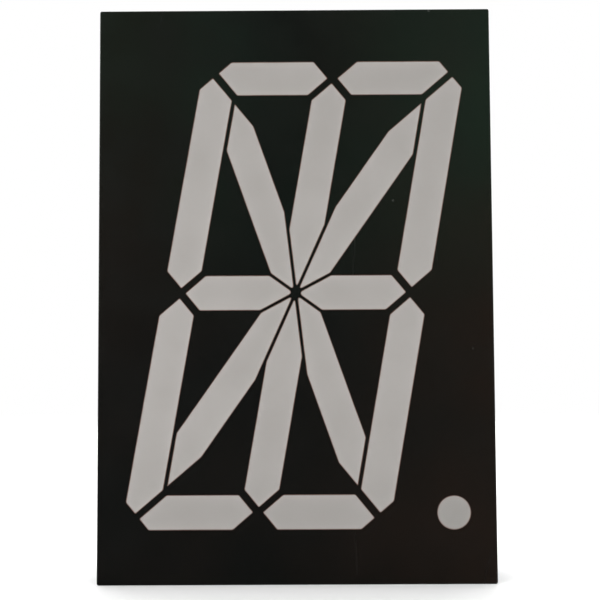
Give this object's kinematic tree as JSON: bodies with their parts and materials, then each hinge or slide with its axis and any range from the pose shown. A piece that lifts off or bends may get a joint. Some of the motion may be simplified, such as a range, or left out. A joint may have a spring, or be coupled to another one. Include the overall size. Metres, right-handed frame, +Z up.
{
  "type": "alphanumeric segment display",
  "caption": "Flat black upright block with a leaning alphanumeric digit of milky segments and a round decimal point on its face, and rows of thin pins behind.",
  "frame": {"origin": "middle of the pin pattern, on the plane of the rear rim that seats on a host board", "axes": "+X right as seen from the front, +Y to the back along the pins, +Z up the digit"},
  "size_m": [0.0478, 0.017, 0.0698],
  "materials": {
    "housing_plastic": "gloss black moulding",
    "board_laminate": "green solder mask",
    "seal_resin": "cured amber resin",
    "solder": "bright solder",
    "segment_resin": "milky diffusing resin",
    "chip": "semiconductor crystal",
    "pin_metal": "tinned"
  },
  "bodies": {
    "root": {"housing": "housing_plastic", "circuit_board": "board_laminate", "edge_seal": "seal_resin", "solder_joints": "solder", "segment_a1": "segment_resin", "segment_a2": "segment_resin", "segment_b": "segment_resin", "segment_c": "segment_resin", "segment_d1": "segment_resin", "segment_d2": "segment_resin", "segment_e": "segment_resin", "segment_f": "segment_resin", "segment_g1": "segment_resin", "segment_g2": "segment_resin", "segment_h": "segment_resin", "segment_i": "segment_resin", "segment_j": "segment_resin", "segment_k": "segment_resin", "segment_l": "segment_resin", "segment_m": "segment_resin", "decimal_point": "segment_resin", "chips_a1": "chip", "chips_a2": "chip", "chips_b": "chip", "chips_c": "chip", "chips_d1": "chip", "chips_d2": "chip", "chips_e": "chip", "chips_f": "chip", "chips_g1": "chip", "chips_g2": "chip", "chips_h": "chip", "chips_i": "chip", "chips_j": "chip", "chips_k": "chip", "chips_l": "chip", "chips_m": "chip", "chip_decimal_point": "chip", "pin_1": "pin_metal", "pin_2": "pin_metal", "pin_3": "pin_metal", "pin_4": "pin_metal", "pin_5": "pin_metal", "pin_6": "pin_metal", "pin_7": "pin_metal", "pin_8": "pin_metal", "pin_9": "pin_metal", "pin_10": "pin_metal", "pin_11": "pin_metal", "pin_12": "pin_metal", "pin_13": "pin_metal", "pin_14": "pin_metal", "pin_15": "pin_metal", "pin_16": "pin_metal", "pin_17": "pin_metal", "pin_18": "pin_metal"}
  },
  "joints": []
}
